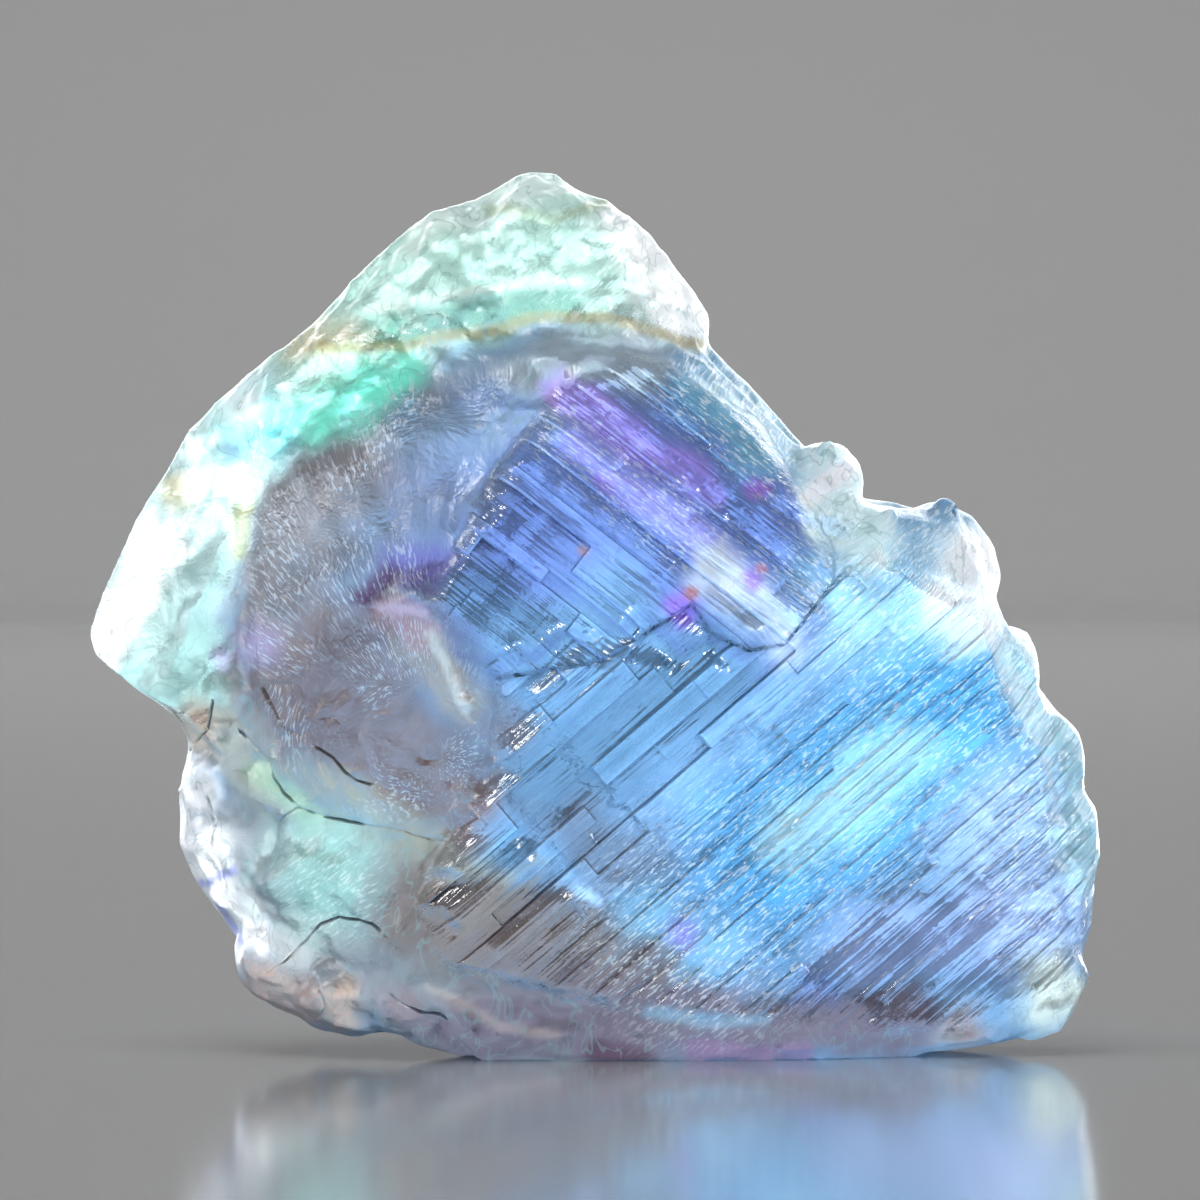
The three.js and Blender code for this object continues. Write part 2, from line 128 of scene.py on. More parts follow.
FLANK_AREA = [
    (-21.4, 53.0), (-25.9, 41.4), (-27.0, 30.9), (-28.5, 24.0), (-33.0, 25.0), (-40.0, 28.0), (-38.0, 38.0),
    (-32.0, 50.0), (-25.0, 56.0),
]
CAP_AREA = [
    (-21.4, 53.0), (-14.6, 53.0), (-4.9, 54.9), (0.4, 55.3), (7.9, 53.0), (11.0, 56.0), (4.0, 66.0),
    (-3.0, 70.0), (-14.0, 66.0), (-24.0, 58.0),
]
# The dome and the lumps below it, the parts without sharp edges
ROUNDED_AREA = [
    (-8.6, 42.1), (-12.4, 33.9), (-7.1, 28.5), (-7.9, 21.9), (-12.0, 9.0), (-12.0, 3.0), (-21.0, 4.0),
    (-27.0, 12.0), (-28.0, 22.0), (-26.6, 30.9), (-25.9, 41.4), (-19.9, 45.9), (-14.6, 51.1), (-4.1, 53.0),
]
SWIRL = (-11.5, 23.0)  # the middle of the folds on the dome
FOLD_TOP = 28.0  # the folds lie under this height
# The long flat facet at the left edge
LEFT_FACET = [(-38.5, 42.0), (-30.8, 42.0), (-31.5, 30.0), (-39.0, 29.0)]
# Dark cracks, as lines seen from the front
CRACKS = [
    [(-26.4, 24.4), (-24.6, 22.6), (-23.8, 20.9), (-22.1, 18.9), (-20.2, 18.2), (-18.4, 17.8), (-15.0, 17.4),
     (-10.9, 16.6)],
    [(-22.1, 18.9), (-23.6, 17.6)],
    [(-19.0, 10.6), (-20.4, 10.0), (-22.4, 7.9), (-24.4, 6.4)],
    [(-19.0, 10.6), (-16.6, 10.2), (-14.6, 8.6)],
    [(-24.6, 27.6), (-22.8, 24.6), (-20.6, 23.4), (-18.5, 21.6), (-16.4, 20.6)],
    [(-28.4, 26.4), (-28.8, 24.6), (-29.8, 23.4), (-30.8, 22.4)],
    [(-29.0, 19.6), (-28.2, 17.6), (-28.6, 15.2), (-27.6, 12.6)],
    [(-20.4, 5.6), (-20.0, 4.0), (-20.8, 2.8)],
    [(-15.2, 5.0), (-13.0, 3.6), (-11.0, 3.2)],
]


def crystal_face(corner, slope):
    """A crystal face through the ridge and one more corner: its own along, across and outward directions."""
    outward = (RIDGE_END - APEX).cross(corner - APEX).normalized()
    if outward.y > 0:
        outward.negate()
    angle = math.radians(slope)
    level = Vector((math.cos(angle), 0, math.sin(angle)))
    along = (level - outward * level.dot(outward)).normalized()
    across = along.cross(outward).normalized()
    if slope < 0:
        across.negate()
    return along, across, outward


LOWER_FACE = crystal_face(LOWER_CORNER, LOWER_SLOPE)
UPPER_FACE = crystal_face(UPPER_CORNER, UPPER_SLOPE)


# Fields over the surface

def smooth(low, high, values):
    t = np.clip((values - low) / (high - low), 0, 1)
    return t * t * (3 - 2 * t)


def distance(points, line):
    """How far each point lies from a broken line, seen from the front."""
    x, z = points[:, 0], points[:, 2]
    nearest = np.full(len(points), 1e9)
    for (ax, az), (bx, bz) in zip(line, line[1:] + line[-1:]):
        run = max((bx - ax) ** 2 + (bz - az) ** 2, 1e-9)
        t = np.clip(((x - ax) * (bx - ax) + (z - az) * (bz - az)) / run, 0, 1)
        nearest = np.minimum(nearest, np.hypot(x - ax - t * (bx - ax), z - az - t * (bz - az)))
    return nearest


def inside(points, outline, soft):
    """How far inside an outline each point lies, from 0 at its edge to 1 at soft millimetres in."""
    x, z = points[:, 0], points[:, 2]
    within = np.zeros(len(points), bool)
    for (ax, az), (bx, bz) in zip(outline, outline[1:] + outline[:1]):
        if az != bz:
            within ^= ((az > z) != (bz > z)) & (x < ax + (z - az) * (bx - ax) / (bz - az))
    return np.where(within, np.clip(distance(points, outline + outline[:1]) / soft, 0, 1), 0)


def facing_front(normals):
    """1 where the surface faces the front, falling to 0 at its side."""
    return np.clip((0.1 - normals[:, 1]) / 0.4, 0, 1)


TURN = np.array(Euler((0.4, 0.7, 0.5)).to_matrix())


def lattice(cells, seed):
    """A repeatable value from -1 to 1 for each whole-number place."""
    mixed = (cells @ np.array([374761393, 668265263, 1274126177]) + seed * 974711) & 0xFFFFFFFF
    mixed = ((mixed ^ (mixed >> 13)) * 1103515245) & 0xFFFFFFFF
    return ((mixed ^ (mixed >> 16)) & 0xFFFF) / 32767.5 - 1


def noise_at(points, size, seed, octaves=3):
    """Smooth noise about 0 at each point; size is the length of its waves along x, y and z."""
    total = np.zeros(len(points))
    weight = 1.0
    place = (points / np.array(size)) @ TURN
    for octave in range(octaves):
        whole = np.floor(place).astype(np.int64)
        part = place - whole
        part = part * part * (3 - 2 * part)
        for corner in itertools.product((0, 1), repeat=3):
            share = np.prod(np.where(corner, part, 1 - part), axis=1)
            total += weight * share * lattice(whole + corner, seed + octave)
        weight *= 0.5
        place = (place * 2.03 + 17.0) @ TURN
    return total


def ridges_at(points, size, seed, octaves=3):
    """Sharp-crested noise at each point, near 0 in the dips and 1 on the crests."""
    return 1 - np.abs(noise_at(points, size, seed, octaves)) * 1.7


def strayed(points, reach, size, seed):
    """The points moved about by smooth noise, so that what follows them has wandering edges."""
    shifts = [noise_at(points, (size,) * 3, seed + 31 * axis) for axis in range(3)]
    return points + reach * np.stack(shifts, axis=1)


def scallops_at(points, size, seed):
    """Shallow bowls side by side with sharp rims: 0 in the middle of a bowl, about 1 at its rim."""
    draw = np.random.default_rng(seed)
    scaled = points / np.array(size)
    low, high = scaled.min(axis=0) - 1, scaled.max(axis=0) + 1
    middles = draw.uniform(low, high, (int(np.prod(high - low)), 3))
    tree = kdtree.KDTree(len(middles))
    for i, middle in enumerate(middles):
        tree.insert(middle, i)
    tree.balance()
    return np.array([min(tree.find(p)[2], 1) ** 2 for p in scaled])


def facets_at(points, normals, chosen, size, seed):
    """How far each chosen point lies from flat facets laid against the surface about a size apart."""
    places = np.nonzero(chosen > 0)[0]
    draw = np.random.default_rng(seed)
    middles = draw.permutation(places)[: int(len(places) * GRAIN * GRAIN / size ** 2)]
    tree = kdtree.KDTree(len(middles))
    for i in middles:
        tree.insert(points[i], i)
    tree.balance()
    lift = np.zeros(len(points))
    for i in places:
        near = [found[1] for found in tree.find_n(points[i], 6)]
        turned = normals[near] @ normals[i]
        near = np.array(near)[turned > 0.4]
        if len(near):
            heights = np.sum((points[near] - points[i]) * normals[near], axis=1) / turned[turned > 0.4]
            lift[i] = np.maximum(heights, 0).min() + np.minimum(heights, 0).max()
    return np.clip(lift, -FACET_REACH, FACET_REACH)


# Relief

def even_copy():
    """The solid as one merged mesh with small even faces, as a bmesh in millimetres."""
    bm = bmesh.new()
    bm.from_mesh(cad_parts["fluorite"].data)
    bmesh.ops.remove_doubles(bm, verts=bm.verts, dist=1e-6)
    bmesh.ops.scale(bm, vec=(1 / MM,) * 3, verts=bm.verts)
    rough = bpy.data.meshes.new("rough")
    bm.to_mesh(rough)
    bm.free()
    holder = bpy.data.objects.new("rough", rough)
    bpy.context.scene.collection.objects.link(holder)
    remesh = holder.modifiers.new("even faces", "REMESH")
    remesh.mode = "VOXEL"
    remesh.voxel_size = GRAIN
    even = bpy.data.meshes.new_from_object(holder.evaluated_get(bpy.context.evaluated_depsgraph_get()))
    bpy.data.objects.remove(holder)
    bpy.data.meshes.remove(rough)
    bm = bmesh.new()
    bm.from_mesh(even)
    bpy.data.meshes.remove(even)
    return bm


def arrays(bm):
    bm.normal_update()
    return np.array([v.co for v in bm.verts]), np.array([v.normal for v in bm.verts])


def face_places(points, face):
    """Where each point lies along and across a crystal face."""
    own = points - np.array(APEX)
    return own @ np.array(face[0]), own @ np.array(face[1])


def growth_bars(stop, broad_until, seed):
    """The bars side by side on a stepped face: the steps between them, and each one's breaks and heights."""
    draw = random.Random(seed)
    steps, breaks, heights = [], [], []
    place = 0.6
    while place < stop:
        steps.append(place)
        wide, tall, long = BROAD_BAR if place < broad_until else FINE_BAR
        place += draw.uniform(*wide)
        along = -draw.uniform(20, 30)
        ends = []
        while along < FACE_LENGTH:
            ends.append(along)
            along += draw.uniform(*long)
        breaks.append(np.array(ends))
        heights.append(np.array([draw.uniform(*tall) for _ in range(len(ends) + 1)]))
    return np.array(steps[1:]), breaks, heights


def cut_across(bm, geometry, origin, direction, sides):
    """Cuts part of the mesh along each of the sides of a riser or crack, so that they come out straight."""
    for side in sides:
        point = origin + direction * (side * RISER)
        cut = bmesh.ops.bisect_plane(bm, geom=geometry, dist=1e-5, plane_co=point, plane_no=direction)
        geometry = cut["geom"]
    return geometry


def with_borders(faces):
    """The faces with their edges and corners, each once and in a fixed order."""
    edges = list(dict.fromkeys(e for f in faces for e in f.edges))
    corners = list(dict.fromkeys(v for f in faces for v in f.verts))
    return faces + edges + corners


def centres_of(faces):
    return np.array([f.calc_center_median() for f in faces])


def jagged(line, seed):
    """A broken line seen from the front, with small kinks added along it."""
    draw = random.Random(seed)
    kinked = [line[0]]
    for start, end in zip(line, line[1:]):
        count = max(1, round(math.dist(start, end) / KINK_SPACING))
        for i in range(1, count + 1):
            stray = KINK_STRAY if i < count else 0
            place = [s + (e - s) * i / count for s, e in zip(start, end)]
            kinked.append(tuple(p + draw.uniform(-stray, stray) for p in place))
    return kinked


def cut_line(bm, line, sides):
    """Cuts the front of the mesh along the sides of a broken line seen from the front."""
    near = distance(centres_of(bm.faces), line) < NEAR_LINE
    faces = [f for f, close in zip(bm.faces, near) if close and f.normal.y < 0]
    for start, end in zip(line, line[1:]):
        near = distance(centres_of(faces), [start, end]) < NEAR_STRETCH
        own = [f for f, close in zip(faces, near) if close]
        sideways = Vector((start[1] - end[1], 0, end[0] - start[0])).normalized()
        cut = cut_across(bm, with_borders(own), Vector((start[0], 0, start[1])), sideways, sides)
        faces = [f for f, close in zip(faces, near) if not close]
        faces += [part for part in cut if isinstance(part, bmesh.types.BMFace)]


def cut_bars(bm, area, face, bars, broad_until):
    """Cuts the mesh along the sides of the bars of a face, and along the ends of the broad ones."""
    along, across, outward = face
    steps, breaks, _ = bars
    turned = np.array([f.normal.dot(outward) for f in bm.faces])
    chosen = np.nonzero((inside(centres_of(bm.faces), area, 1.0) > 0) & (turned > 0.3))[0]
    bm.faces.ensure_lookup_table()
    geometry = with_borders([bm.faces[i] for i in chosen])
    for place in steps:
        geometry = cut_across(bm, geometry, APEX + across * place, across, RISER_EDGES)
    faces = [part for part in geometry if isinstance(part, bmesh.types.BMFace)]
    _, across_places = face_places(centres_of(faces), face)
    rows = np.searchsorted(steps, across_places)
    for row in range(np.searchsorted(steps, broad_until)):
        own = [f for f, r in zip(faces, rows) if r == row]
        reach = [(f.calc_center_median() - APEX).dot(along) for f in own]
        geometry = with_borders(own)
        for place in breaks[row]:
            if min(reach, default=0) < place < max(reach, default=0):
                geometry = cut_across(bm, geometry, APEX + along * place, along, RISER_EDGES)


def between(places, values, own):
    """The value of each stretch between two places, rising evenly over each riser, and the drop beside it."""
    before = np.searchsorted(places, own - RISER / 2)
    after = np.searchsorted(places, own + RISER / 2)
    risen = np.clip((own - places[np.minimum(before, len(places) - 1)]) / RISER + 0.5, 0, 1)
    value = np.where(before == after, values(before), values(before) * (1 - risen) + values(after) * risen)
    near, far = (values(np.searchsorted(places, own + RISER * side)) for side in (-0.6, 0.6))
    return value, 2 * value - near - far


def bar_heights(points, face, bars):
    """Height of each point on a stepped face, and how far it stands above or below what is beside it."""
    steps, breaks, heights = bars
    u, v = face_places(points, face)
    everywhere = np.arange(len(u))
    rows = [between(ends, lambda i: tall[i], u) for ends, tall in zip(breaks, heights)]
    levels = np.stack([row[0] for row in rows])
    drops = np.stack([row[1] for row in rows])
    level, drop = between(steps, lambda row: levels[row, everywhere], v)
    return level, drop + drops[np.searchsorted(steps, v), everywhere]


def round_off(bm):
    """Smooths the front a little, and the dome and the lumps much more, all of it clear of the foot."""
    points, normals = arrays(bm)
    front = facing_front(normals)
    crystal = np.maximum(inside(points, LOWER_AREA, 1.0), inside(points, UPPER_AREA, 1.0)) * front
    worn = inside(points, ROUNDED_AREA, 1.0) * front * (crystal == 0)
    clear = (points[:, 2] > FOOT_CLEAR) & (points[:, 1] < BACK_CLEAR)
    loose = [(v, w) for v, w, free in zip(bm.verts, worn, clear) if free]
    axes = {"use_axis_x": True, "use_axis_y": True, "use_axis_z": True}
    for turn in range(SMOOTHING_TURNS):
        rounded = [v for v, w in loose if turn < FIRST_TURNS or w > 0]
        bmesh.ops.smooth_vert(bm, verts=rounded, factor=0.5, **axes)


def surface_kinds(points, normals):
    """How much of each kind of surface there is at each point, from 0 to 1."""
    front = facing_front(normals)
    from_border = distance(points, FACE_BORDER)
    soft = np.where(from_border < 1.3, RISER / 2, 1.2)
    lower = inside(points, LOWER_AREA, soft) * front
    upper = inside(points, UPPER_AREA, soft) * front
    stepped = np.maximum(lower, upper)
    dome = inside(points, DOME_AREA, 2.0) * front * (1 - stepped)
    flank = inside(points, FLANK_AREA, 2.0) * (1 - stepped) * (1 - dome)
    cap = inside(points, CAP_AREA, 1.5) * (1 - stepped) * (1 - dome)
    behind = smooth(0.2, 0.6, normals[:, 1])
    skin = (1 - np.maximum.reduce([stepped, dome, flank, cap])) * (1 - behind)
    crevice = (1 - smooth(0.05, 0.4, from_border)) * front
    return SimpleNamespace(
        front=front, lower=lower, upper=upper, stepped=stepped, dome=dome, flank=flank, cap=cap,
        behind=behind, skin=skin, crevice=crevice, milky=np.maximum.reduce([flank, cap, skin]),
    )


def swirl_places(points, wandering):
    """Where each point lies about the dome's folds: out from their middle, round it and among them."""
    out = np.hypot(wandering[:, 0] - SWIRL[0], wandering[:, 2] - SWIRL[1])
    bearing = np.arctan2(points[:, 0] - SWIRL[0], points[:, 2] - SWIRL[1])
    return out, bearing, smooth(FOLD_TOP + 2, FOLD_TOP - 2, points[:, 2])


def dome_relief(points, wandering):
    """Folds low on the dome, and above them scratches that spread out from their middle."""
    out, bearing, folded = swirl_places(points, wandering)
    ridges = FOLD_RIDGE * ridges_at(wandering, (2.6, 2.0, 1.7), 17)
    folds = FOLD_WAVE * np.sin(out * math.tau / FOLD_SPACING) + ridges - 0.1
    rays = np.stack([bearing * 16, 0 * out, out / 4], axis=1)
    swell = DOME_SWELL * noise_at(points, (5, 5, 5), 21)
    scratched = SCRATCH_HEIGHT * noise_at(rays, (1.2,) * 3, 19) + swell
    return folded * folds + (1 - folded) * scratched


def rear_relief(points, wandering):
    """Cleaved terraces that run the way the lower face grew, with wide shallow bowls in them."""
    along, across = face_places(points + 0.3 * (wandering - points), LOWER_FACE)
    terrace = noise_at(np.stack([across, 0 * across, along / 6], axis=1), (4.5,) * 3, 23, 2) * TERRACES
    terrace = np.floor(terrace) + smooth(0.4, 0.6, terrace % 1)
    bowls = REAR_BOWL * scallops_at(wandering, (7.0, 7.0, 7.0), 14)
    return TERRACE_STEP * terrace + bowls + REAR_GRAIN * noise_at(points, (1.4,) * 3, 25, 2) - 0.1


def cracked(points, front, cracks):
    """1 in the middle of a crack, less where it fades, and 0 beside it."""
    depth = np.zeros(len(points))
    for line in cracks:
        depth = np.maximum(depth, (1 - smooth(0, RISER, distance(points, line))) * front)
    return depth * (0.25 + 0.75 * smooth(-0.35, 0.25, noise_at(points, (2.0,) * 3, 47)))


def relief(points, normals, wandering, on, crack):
    """How far each point moves out along its normal, apart from the growth steps."""
    ripple = FLANK_RIPPLE * ridges_at(wandering, (1.6, 3, 4), 5, 2)
    lift = on.flank * (FLANK_RIDGE * ridges_at(wandering, (4.0, 9.0, 9.0), 3, 2) + ripple - 0.4)
    ripple = CAP_RIPPLE * noise_at(points, (1.0,) * 3, 9, 2)
    lift += on.cap * (CAP_RIDGE * ridges_at(wandering, (3.0, 6.0, 7.0), 7, 2) + ripple - 0.2)
    grain = noise_at(points, (1.2,) * 3, 15, 2)
    broken = on.skin * smooth(*BROKEN_FROM, points[:, 0])
    bowls = SKIN_BOWL * scallops_at(wandering, (3.0,) * 3, 13)
    lift += (on.skin - broken) * (bowls + SKIN_GRAIN * grain - 0.3)
    lift += broken * (facets_at(points, normals, broken, FACET_SIZE, 16) + BROKEN_GRAIN * grain)
    lift += on.dome * dome_relief(points, wandering)
    lift += on.behind * rear_relief(points, wandering)
    lift -= CRACK_DEPTH * crack
    calmer_edge = 0.3 + 0.7 * smooth(0.1, 0.5, np.abs(normals[:, 1]))
    return lift * calmer_edge * (1 - 0.8 * inside(points, LEFT_FACET, 1.0))


def store(mesh, name, kind, key, values):
    """Keeps a value for each corner of the mesh, which the finish reads."""
    mesh.attributes.new(name, kind, "POINT").data.foreach_set(key, values.astype(np.float32).ravel())


def store_marks(mesh, points, wandering, on):
    """Keeps how the growth lines run, which kind of surface each point is on, and where it glitters, for the
    painted glints, flecks and dome scratches.
    """
    along, across = face_places(points, LOWER_FACE)
    upper_along, upper_across = face_places(points, UPPER_FACE)
    on_upper = on.upper > on.lower
    growth = [np.where(on_upper, upper_along, along), np.where(on_upper, upper_across + 90, across)]
    out, bearing, folded = swirl_places(points, wandering)
    swirl = [np.where(folded > 0.5, bearing * 10, out), np.where(folded > 0.5, out, bearing * 16)]
    on_dome = on.dome > on.stepped
    growth = [np.where(on_dome, s, g) for s, g in zip(swirl, growth)] + [0 * along]
    store(mesh, "growth", "FLOAT_VECTOR", "vector", np.stack(growth, axis=1))
    marks = [np.maximum(on.stepped, 0.7 * on.behind), on.dome, on.milky]
    store(mesh, "marks", "FLOAT_VECTOR", "vector", np.stack(marks, axis=1))
    store(mesh, "wander", "FLOAT_VECTOR", "vector", wandering)
    glitter = painted(points, 0 * points, on.front, SPARKLES, np.zeros(1))[:, 0]
    patches = on.dome * smooth(-0.35, 0.3, noise_at(points, (5.0,) * 3, 43, 2))
    store(mesh, "sparkle", "FLOAT", "value", np.maximum(glitter, patches))


def sculpt():
    """The specimen's skin: rounded lumps and dome, growth steps, etched and broken surfaces and cracks."""
    bm = even_copy()
    round_off(bm)
    lower_bars = growth_bars(LOWER_WIDTH, LOWER_BROAD, SEED)
    upper_bars = growth_bars(UPPER_WIDTH, UPPER_BROAD, SEED + 1)
    cut_bars(bm, LOWER_AREA, LOWER_FACE, lower_bars, LOWER_BROAD)
    cut_bars(bm, UPPER_AREA, UPPER_FACE, upper_bars, UPPER_BROAD)
    cut_line(bm, FACE_BORDER, RISER_EDGES)
    cracks = [jagged(line, SEED + 60 + i) for i, line in enumerate(CRACKS)]
    for line in cracks:
        cut_line(bm, line, CRACK_EDGES)

    points, normals = arrays(bm)
    wandering = strayed(points, 1.4, 6.0, SEED)
    on = surface_kinds(points, normals)
    crack = cracked(points, on.front, cracks)
    foot = smooth(0.3, 1.5, points[:, 2])
    moved = points + normals * (foot * relief(points, normals, wandering, on, crack))[:, None]
    # How far each point stands above or below its neighbours, and how high its step is, kept for the painted
    # light and shade below
    edges = np.zeros(len(points))
    levels = np.zeros(len(points))
    for mask, face, bars in ((on.lower, LOWER_FACE, lower_bars), (on.upper, UPPER_FACE, upper_bars)):
        level, drop = bar_heights(points, face, bars)
        moved += (mask * foot * (level + BORDER_STEP))[:, None] * np.array(face[2])
        edges += mask * drop
        levels += mask * (level - 0.2)
    for v, p in zip(bm.verts, moved):
        v.co = p
    bmesh.ops.triangulate(bm, faces=bm.faces)
    bmesh.ops.scale(bm, vec=(MM,) * 3, verts=bm.verts)
    mesh = bpy.data.meshes.new("fluorite_body")
    bm.to_mesh(mesh)
    bm.free()
    mesh.shade_smooth()
    mesh.set_sharp_from_angle(angle=math.radians(SHARP_ANGLE))

    store_marks(mesh, points, wandering, on)
    # Painted light and shade, multiplied into the zone colours: lighter crests and high steps, darker feet of
    # the steps, back, cracks and crevice
    light = 1 + CREST_LIGHT * np.clip(edges, -1, 0.6) + STEP_LIGHT * levels - REAR_SHADE * on.behind
    light -= np.maximum(CRACK_SHADE * crack, CREVICE_SHADE * on.crevice)
    shown = np.maximum(on.front, smooth(0.0, -4.0, points[:, 1]))
    store(mesh, "zone", "FLOAT_COLOR", "color", zone_colours(points, shown, light))
    return mesh


# Colour zones

MAIN_BLUE = (92, 134, 180)
THROUGH = 1  # a zone that runs right through the piece
SHOW = 0  # a zone that lies on the show face only
COLLAR_LINE = [(-27.4, 24.2), (-24.4, 21.2), (-19.9, 18.4), (-14.0, 16.0), (-9.5, 14.0)]
LEDGE_LINE = [(-21.4, 53.0), (-14.6, 53.0), (-4.9, 54.9), (0.4, 55.3), (7.9, 53.0)]

